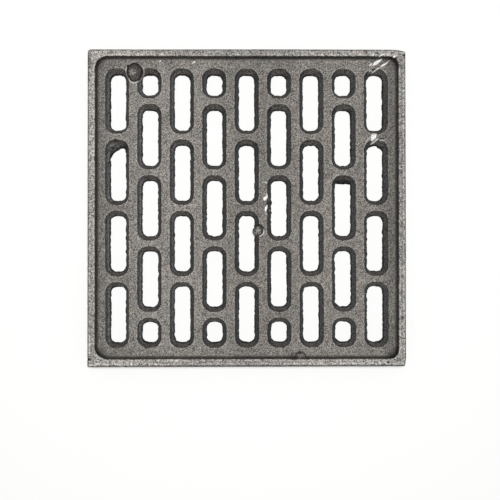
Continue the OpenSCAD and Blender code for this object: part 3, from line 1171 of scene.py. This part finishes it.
@dataclass(frozen=True)
class Settling:
    """Small shifts and wear that set the real casting apart from its exact form.

    Attributes:
        plan: Outlines that are shifted.
        inner_part: Share in which the slots and the rim's inner face shift, from the middle out.
        wall_length: Share in which the first column's wall shifts, from the middle up or down.
        face: Where the rim's inner face begins and ends, going out.
        pit_depth: Share in which the pit shifts, away from the floor.
        recess_reach: How far from the recess's corners points still move.
        side_reach: The same from the worn outer corner.
        fullness: How fully they move up to there, past 1 near the outline.
        low_side: Where the lower side leans in.
        low_side_up: Its lean by height.
        high_side: Where the upper side sinks.
        right_side: Where the right side swells.
        right_swell: How far, going up the plate.
        high_corner: Where the upper right corner sinks.
        high_corner_up: By height, where it does.
        low_corner: How far in the lower right corner lies, going down.
        low_corner_right: Where it does, going right.
        chip: Place of the chip at the lower left, in millimetres.
        chip_depth: Its depth, away from there.
        chip_up: By height, where it is.
    """

    plan: GrillePlan = GrillePlan()
    inner_part: Fade = Fade(95.5, 98.5, 1.0, 0.0)
    wall_length: Fade = Fade(88.5, 91.0, 1.0, 0.0)
    face: tuple[Fade, Fade] = (Fade(91.0, 93.5), Fade(95.8, 98.8, 1.0, 0.0))
    pit_depth: Fade = Fade(4.0, 7.0, 1.0, 0.0)
    recess_reach: float = 4.0 * MM
    side_reach: float = 2.5 * MM
    fullness: float = 1.6
    low_side: Fade = Fade(98.0, 99.4)
    low_side_up: Fade = Fade(2.0, 8.0)
    high_side: Fade = Fade(97.0, 99.3)
    right_side: Fade = Fade(98.2, 99.3)
    right_swell: Fade = Fade(-80.0, -20.0, 0.0, 0.2 * MM)
    high_corner: Fade = Fade(96.5, 99.3)
    high_corner_up: Fade = Fade(2.0, 9.0)
    low_corner: Fade = Fade(94.0, 99.5, 0.0, 0.6 * MM)
    low_corner_right: Fade = Fade(97.0, 99.3)
    chip: Place = (-98.9, -94.7)
    chip_depth: Fade = Fade(0.4, 1.3, 0.8 * MM, 0.0)
    chip_up: Fade = Fade(9.0, 11.5)

    def round_corner(self, points: np.ndarray, sign: Pair, half: float, radii: Pair, reach: float) -> None:
        """Widens the radius of one upright corner, less and less away from it.

        Args:
            points: The skin's points, moved in place.
            sign: Which corner, as the signs of its x and y.
            half: Distance of the corner's two sides from the middle.
            radii: The corner's radius now, and its new one.
            reach: How far from the outline points are still moved.
        """
        old, new = radii
        flat = points[:, :2] * sign
        now = np.clip(flat - (half - old), 0.0, None)
        then = np.clip(flat - (half - new), 0.0, None)
        away = np.hypot(*then.T)
        gain = (away - new) - (np.hypot(*now.T) - old)
        near = np.clip(self.fullness - self.fullness * np.abs(away - new) / reach, 0.0, 1.0)
        gain = np.maximum(gain * (then.min(axis=1) > 0.0) * near, 0.0)
        points[:, :2] -= then / np.maximum(away, TINY)[:, None] * sign * gain[:, None]

    def shift_inside(self, points: np.ndarray, x: np.ndarray, y: np.ndarray, z: np.ndarray) -> None:
        """Shifts the slots, the recess and the pit.

        Args:
            points: The skin's points, moved in place.
            x: Their first places to the right, in millimetres.
            y: The same, going up the plate.
            z: The same by height.
        """
        plan = self.plan
        near, far = self.face
        inside = self.inner_part.of(np.maximum(np.abs(x), np.abs(y)))
        points[:, 0] += plan.core_shift[0] * inside
        points[:, 1] += plan.core_shift[1] * inside
        window = plan.first_wall[0].of(x) * plan.first_wall[1].of(x) * self.wall_length.of(np.abs(y))
        points[:, 0] += (plan.narrow + plan.narrow_low.of(y)) * window
        points[:, 0] += (plan.right_room + plan.right_flare * y * MM) * near.of(x) * far.of(x)
        low = self.pit_depth.of(np.abs(z - plan.floor_top / MM))
        for (pull_x, pull_y), shift, reach in plan.pit_shifts:
            pull = Fade(0.0, reach, 1.0, 0.0).of(np.hypot(x - pull_x, y - pull_y))
            points[:, :2] += np.array(shift) * MM * (pull * low)[:, None]
        points[:, 1] += plan.top_room.of(x) * near.of(y) * far.of(y)
        points[:, 1] -= plan.low_room.of(x) * near.of(-y) * far.of(-y)

    def wear_outside(self, points: np.ndarray, x: np.ndarray, y: np.ndarray, z: np.ndarray) -> None:
        """Leans, sinks and swells the sides, and wears the corners.

        Args:
            points: The skin's points, moved in place.
            x: Their first places to the right, in millimetres.
            y: The same, going up the plate.
            z: The same by height.
        """
        plan = self.plan
        points[:, 1] += plan.low_lean * self.low_side.of(-y) * self.low_side_up.of(z)
        for side in (-1.0, 1.0):
            radii = (plan.rim_corner, plan.left_corner)
            self.round_corner(points, (-1.0, side), plan.rim_inner, radii, self.recess_reach)
        radii = (plan.side_corner, plan.worn_corner)
        self.round_corner(points, (-1.0, 1.0), plan.side_half, radii, self.side_reach)
        points[:, 1] -= plan.sag.of(x) * self.high_side.of(y)
        points[:, 0] += self.right_side.of(x) * self.right_swell.of(y)
        points[:, 1] -= plan.corner_sag.of(x) * self.high_corner.of(y) * self.high_corner_up.of(z)
        points[:, 0] -= self.low_corner.of(-y) * self.low_corner_right.of(x)
        chip = self.chip_depth.of(np.hypot(x - self.chip[0], y - self.chip[1]))
        points[:, 2] -= chip * self.chip_up.of(z)

    def apply(self, points: np.ndarray) -> None:
        """Moves the skin by all shifts and all wear.

        Args:
            points: The skin's points, moved in place.
        """
        x, y, z = (points[:, axis].copy() / MM for axis in range(3))
        self.shift_inside(points, x, y, z)
        self.wear_outside(points, x, y, z)


@dataclass(frozen=True)
class Roughness:
    """One noise that moves the skin of the casting.

    Attributes:
        name: Its name.
        size: Size of its grains.
        depth: Full depth of the movement.
        way: Direction of the movement.
        area: The part of the skin that it moves.
    """

    name: str
    size: float
    depth: float
    way: Push
    area: str


@dataclass
class RoughCasting:
    """The whole grille, taken from its exact solid and made rough as cast.

    Attributes:
        merge: Distance up to which the solid's points are joined.
        depth: Halvings of the box that the solid is remade in.
        fill: Share of that box's side that the solid fills.
        softness: How much its edges are softened.
        most_faces: Triangles that the finished mesh may have.
        inner_end: Distance from the middle past which the walls no longer waver.
        inner_fade: Width in which they stop.
        side_start: Distance from the middle at which the smoother outer sides begin.
        field_margin: How far inside the rim the slots' field ends.
        lip_height: Height up to which the slots' low edges are ragged.
        lip_flat: Closeness to the underside from which its flat skin is ragged too, and how much.
        wall_turn: Upward share of the normal at which a wall ends, and its softness.
        level: The same past which the skin is level and doesn't lean.
        down_turn: The same below which it is the underside.
        smoother: Roughness of the underside and of the outer sides.
        under_waver: How much of the walls' waver the underside has.
        hollow_fade: Width in which the pit's slag begins.
        hollow_low: Height from which the pit has slag.
        hollow_high: How far below the floor's top it ends.
        end_lean: How much further the slots' ends lean in at the underside.
        side_ease: How much less their sides do.
        steps: Steps in which an area's shares are kept.
        rough: The noises, coarse ones first.
        plan: Outlines of the floor, the rim and the flaws.
        settling: Shifts and wear.
        finish: Its material.
    """

    merge: float = 0.002 * MM
    depth: int = 9
    fill: float = 0.7
    softness: float = 0.4
    most_faces: int = 190_000
    inner_end: float = 98.0 * MM
    inner_fade: float = 3.0 * MM
    side_start: float = 99.0 * MM
    field_margin: float = 2.0 * MM
    lip_height: float = 3.0 * MM
    lip_flat: Pair = (0.8, 0.5)
    wall_turn: Pair = (0.8, 0.3)
    level: float = 0.95
    down_turn: float = -0.5
    smoother: float = 0.5
    under_waver: float = 0.3
    hollow_fade: float = 0.8 * MM
    hollow_low: float = 1.0 * MM
    hollow_high: float = 0.6 * MM
    end_lean: float = 0.41 * MM
    side_ease: float = 0.05 * MM
    steps: int = 16
    rough: tuple[Roughness, ...] = (
        Roughness("walls_waver", 7.0 * MM, 0.5 * MM, Push.ANY_WAY, "inner"),
        Roughness("ragged_lips", 2.4 * MM, 1.1 * MM, Push.ANY_WAY, "low_lips"),
        Roughness("nibbled_lips", 1.1 * MM, 0.5 * MM, Push.ANY_WAY, "low_lips"),
        Roughness("coarse_sand", 3.2 * MM, 0.25 * MM, Push.ALONG_NORMAL, "skin"),
        Roughness("fine_sand", 1.3 * MM, 0.22 * MM, Push.ALONG_NORMAL, "skin"),
        Roughness("slag", 1.8 * MM, 1.0 * MM, Push.ALONG_NORMAL, "hollow"),
    )
    plan: GrillePlan = GrillePlan()
    settling: Settling = Settling()
    finish: CastIronFinish = CastIronFinish()

    def copy_solid(self) -> Piece:
        """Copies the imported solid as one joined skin.

        Returns:
            The new object, with its loose triangles merged.
        """
        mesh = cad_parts[NODE].data.copy()
        mesh.name = "rough_casting"
        piece = bpy.data.objects.new("rough_casting", mesh)
        bpy.context.scene.collection.objects.link(piece)
        make_active(piece)
        bpy.ops.object.mode_set(mode="EDIT")
        bpy.ops.mesh.select_all(action="SELECT")
        bpy.ops.mesh.remove_doubles(threshold=self.merge)
        bpy.ops.object.mode_set(mode="OBJECT")
        return piece

    def remesh(self, piece: Piece) -> None:
        """Remakes the skin in even cells and softens its edges.

        Args:
            piece: The casting.
        """
        cells = piece.modifiers.new("cells", "REMESH")
        cells.mode = "SHARP"
        cells.octree_depth = self.depth
        cells.scale = self.fill
        cells.use_remove_disconnected = False
        apply_modifier(piece, cells)
        soften = piece.modifiers.new("soften", "SMOOTH")
        soften.factor = self.softness
        soften.iterations = 1
        apply_modifier(piece, soften)

    def read_points(self, piece: Piece) -> tuple[np.ndarray, np.ndarray]:
        """Reads the skin's points and their normals.

        Args:
            piece: The casting.

        Returns:
            The points and the normals, three numbers a row.
        """
        count = len(piece.data.vertices)
        points = np.empty(count * 3)
        piece.data.vertices.foreach_get("co", points)
        normals = np.empty(count * 3)
        piece.data.vertex_normals.foreach_get("vector", normals)
        return points.reshape(-1, 3), normals.reshape(-1, 3)

    def write_points(self, piece: Piece, points: np.ndarray) -> None:
        """Writes the skin's points back."""
        piece.data.vertices.foreach_set("co", points.ravel())
        piece.data.update()

    def in_field(self, points: np.ndarray) -> np.ndarray:
        """Tells which points lie among the slots, inside the rim."""
        return np.abs(points[:, :2]).max(axis=1) < self.plan.rim_inner - self.field_margin

    def areas(self, piece: Piece) -> dict[str, np.ndarray]:
        """Works out how strongly each point belongs to each area of the skin.

        Args:
            piece: The casting.

        Returns:
            Shares from 0 to 1 by the area's name.
        """
        points, normals = self.read_points(piece)
        far = np.abs(points[:, :2]).max(axis=1)
        height = points[:, 2]
        under = normals[:, 2] < self.down_turn
        inner = np.clip((self.inner_end - far) / self.inner_fade, 0.0, 1.0)
        turn, softness = self.wall_turn
        steep = np.clip((turn - np.abs(normals[:, 2])) / softness, 0.0, 1.0)
        low = np.clip(1.0 - height / self.lip_height, 0.0, 1.0)
        lowest, flat_share = self.lip_flat
        lips = low * np.maximum(steep, flat_share * (low > lowest)) * self.in_field(points)
        skin = np.where(under, self.smoother, 1.0) * np.where(far > self.side_start, self.smoother, 1.0)
        hollow = np.zeros(len(points))
        for x, y, radius in self.plan.hole_lobes:
            away = np.hypot(points[:, 0] - x * MM, points[:, 1] - y * MM)
            hollow = np.maximum(hollow, np.clip((radius * MM - away) / self.hollow_fade, 0.0, 1.0))
        hollow *= (height > self.hollow_low) & (height < self.plan.floor_top - self.hollow_high)
        waver = inner * np.where(under, self.under_waver, 1.0)
        return {"inner": waver, "low_lips": lips, "skin": skin, "hollow": hollow}

    def lean_walls(self, piece: Piece) -> None:
        """Leans the slots' ends in further and their sides less, and bites into a few low edges.

        Args:
            piece: The casting.
        """
        points, normals = self.read_points(piece)
        down = 1.0 - np.clip(points[:, 2] / self.plan.floor_top, 0.0, 1.0)
        down *= self.in_field(points) & (np.abs(normals[:, 2]) < self.level)
        points[:, 0] -= self.side_ease * down * normals[:, 0]
        points[:, 1] += self.end_lean * down * normals[:, 1]
        for x, y, radius, depth in self.plan.bites:
            near = 1.0 - np.hypot(points[:, 0] - x * MM, points[:, 1] - y * MM) / (radius * MM)
            push = depth * MM * np.clip(self.plan.bite_slope * near, 0.0, 1.0)
            push *= points[:, 2] < self.plan.bite_top
            points[:, :2] -= normals[:, :2] * push[:, None]
        self.write_points(piece, points)

    def settle(self, piece: Piece) -> None:
        """Shifts and wears the skin as on the real casting.

        Args:
            piece: The casting.
        """
        points = self.read_points(piece)[0]
        self.settling.apply(points)
        self.write_points(piece, points)

    def mark_areas(self, piece: Piece) -> None:
        """Writes each area's shares to a vertex group, in steps.

        Args:
            piece: The casting.
        """
        for name, share in self.areas(piece).items():
            group = piece.vertex_groups.new(name=name)
            levels = np.rint(share * self.steps).astype(int)
            for level in range(1, self.steps + 1):
                members = np.nonzero(levels == level)[0].tolist()
                if members:
                    group.add(members, level / self.steps, "REPLACE")

    def roughen(self, piece: Piece, rough: Roughness) -> None:
        """Moves the skin by one noise.

        Args:
            piece: The casting.
            rough: The noise.
        """
        texture = bpy.data.textures.new(rough.name, "CLOUDS")
        texture.noise_scale = rough.size
        texture.noise_depth = 1
        texture.cloud_type = "COLOR" if rough.way is Push.ANY_WAY else "GRAYSCALE"
        push = piece.modifiers.new(rough.name, "DISPLACE")
        push.texture = texture
        push.texture_coords = "LOCAL"
        push.direction = rough.way.value
        push.mid_level = 0.5
        push.strength = rough.depth
        push.vertex_group = rough.area
        apply_modifier(piece, push)

    def thin_out(self, piece: Piece) -> None:
        """Drops faces where the skin is flat, down to the limit.

        Args:
            piece: The casting.
        """
        now = sum(len(p.vertices) - 2 for p in piece.data.polygons)
        if now > self.most_faces:
            fewer = piece.modifiers.new("fewer", "DECIMATE")
            fewer.ratio = self.most_faces / now
            apply_modifier(piece, fewer)

    def keep_in_box(self, piece: Piece) -> None:
        """Presses any point that strays outside the solid's box back to its sides."""
        points = self.read_points(piece)[0]
        self.write_points(piece, np.clip(points, np.array(cad_low), np.array(cad_high)))

    def build(self) -> Piece:
        """Returns:
            The finished piece.
        """
        piece = self.copy_solid()
        self.remesh(piece)
        self.lean_walls(piece)
        self.settle(piece)
        self.mark_areas(piece)
        for rough in self.rough:
            self.roughen(piece, rough)
        self.thin_out(piece)
        self.keep_in_box(piece)
        piece.vertex_groups.clear()
        make_active(piece)
        bpy.ops.object.shade_smooth()
        piece.data.materials.clear()
        piece.data.materials.append(self.finish.make())
        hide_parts(NODE)
        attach(piece, BODY)
        log.info("%s: %d faces", piece.name, len(piece.data.polygons))
        return piece


@dataclass
class Studio:
    """A plain pale floor, soft light from above and a camera that looks almost straight down.

    Attributes:
        camera_place: Place of the camera.
        camera_turn: Its turn, in degrees.
        lens: Its focal length, in millimetres.
        sensor: Width of its sensor, in millimetres.
        clip_start: Distance at which it begins to see.
        floor_side: Side of the floor.
        floor_drop: How far below the grille it lies.
        floor_color: Its colour.
        light_place: Place of the light.
        light_side: Its width.
        light_power: Its power, in watts.
        sky: Strength of the even light from all round.
    """

    camera_place: tuple[float, float, float] = (-6.763 * MM, -32.877 * MM, 532.431 * MM)
    camera_turn: tuple[float, float, float] = (0.7061, -0.9425, -0.0700)
    lens: float = 59.874
    sensor: float = 36.0
    clip_start: float = 0.01
    floor_side: float = 6.0
    floor_drop: float = 0.05 * MM
    floor_color: Color = (0.66, 0.66, 0.656, 1.0)
    light_place: tuple[float, float, float] = (0.0, 0.05, 1.5)
    light_side: float = 0.5
    light_power: float = 30.0
    sky: float = 0.25

    def add_camera(self) -> Piece:
        """Adds the camera and makes it the scene's own.

        Returns:
            The camera.
        """
        data = bpy.data.cameras.new("camera")
        data.lens = self.lens
        data.sensor_width = self.sensor
        data.clip_start = self.clip_start
        camera = bpy.data.objects.new("camera", data)
        camera.location = self.camera_place
        camera.rotation_euler = Euler([math.radians(a) for a in self.camera_turn], "XYZ")
        bpy.context.scene.collection.objects.link(camera)
        bpy.context.scene.camera = camera
        return camera

    def add_floor(self) -> Piece:
        """Adds the pale floor that the grille lies on.

        Returns:
            The floor.
        """
        select_none()
        bpy.ops.mesh.primitive_plane_add(size=self.floor_side, location=(0, 0, -self.floor_drop))
        floor = bpy.context.object
        floor.name = "studio_floor"
        n = NodeTree(bpy.data.materials.new("pale_floor"))
        floor.data.materials.append(n.finish(n.add("ShaderNodeBsdfDiffuse", {"Color": self.floor_color})))
        return floor

    def add_light(self) -> Piece:
        """Adds the soft light overhead and a faint even sky.

        Returns:
            The light.
        """
        data = bpy.data.lights.new("overhead", "AREA")
        data.shape = "DISK"
        data.size = self.light_side
        data.energy = self.light_power
        light = bpy.data.objects.new("overhead", data)
        light.location = self.light_place
        bpy.context.scene.collection.objects.link(light)
        world = bpy.data.worlds.new("sky")
        world.use_nodes = True
        background = world.node_tree.nodes["Background"]
        background.inputs["Color"].default_value = (1, 1, 1, 1)
        background.inputs["Strength"].default_value = self.sky
        bpy.context.scene.world = world
        return light

    def build(self) -> None:
        """Sets up the camera, the floor and the light."""
        self.add_camera()
        self.add_floor()
        self.add_light()
        bpy.context.scene.view_settings.view_transform = "Standard"
        log.info("studio: camera, floor and light")


def main() -> None:
    """Builds the studio and the casting."""
    select_none()
    Studio().build()
    RoughCasting().build()


if __name__ == "__main__":
    main()
